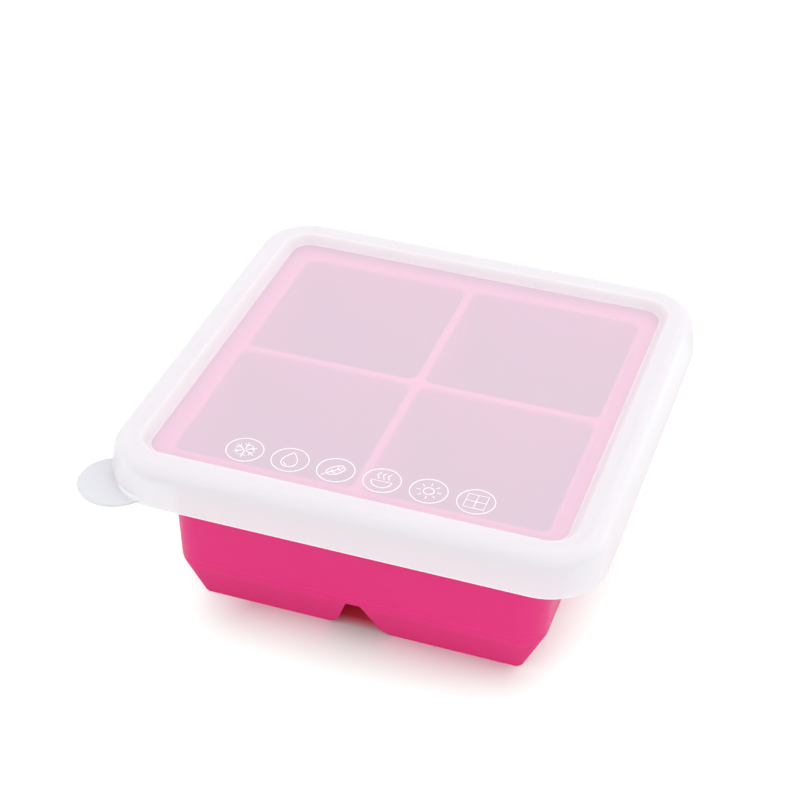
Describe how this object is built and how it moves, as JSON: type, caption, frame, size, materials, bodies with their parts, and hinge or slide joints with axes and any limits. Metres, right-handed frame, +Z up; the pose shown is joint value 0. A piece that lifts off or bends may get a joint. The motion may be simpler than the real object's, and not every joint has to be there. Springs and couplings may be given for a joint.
{
  "type": "baby food freezer tray",
  "caption": "Square silicone freezer tray with deep tapered pockets, chamfered feet and a frosted see-through lid that drops over its rim and has a corner pull tab.",
  "frame": {"origin": "centre of the footprint, lid and pull tab included, on the plane of the feet's soles; the tray's own centre is 2.7 mm from it towards +X and +Y", "axes": "+Z up through the lid; the pull tab is on the -X -Y corner and the row of signs runs along the -Y edge"},
  "size_m": [0.148, 0.148, 0.0596],
  "materials": {
    "tray_silicone": "satin hot-pink silicone",
    "lid_silicone": "frosted translucent silicone"
  },
  "bodies": {
    "tray": {"tray": "tray_silicone"},
    "lid": {"lid": "lid_silicone"}
  },
  "joints": [
    {"name": "lid_lift", "type": "slide", "parent": "tray", "child": "lid", "axis": [0, 0, 1], "range_m": [0, 0.08]}
  ]
}
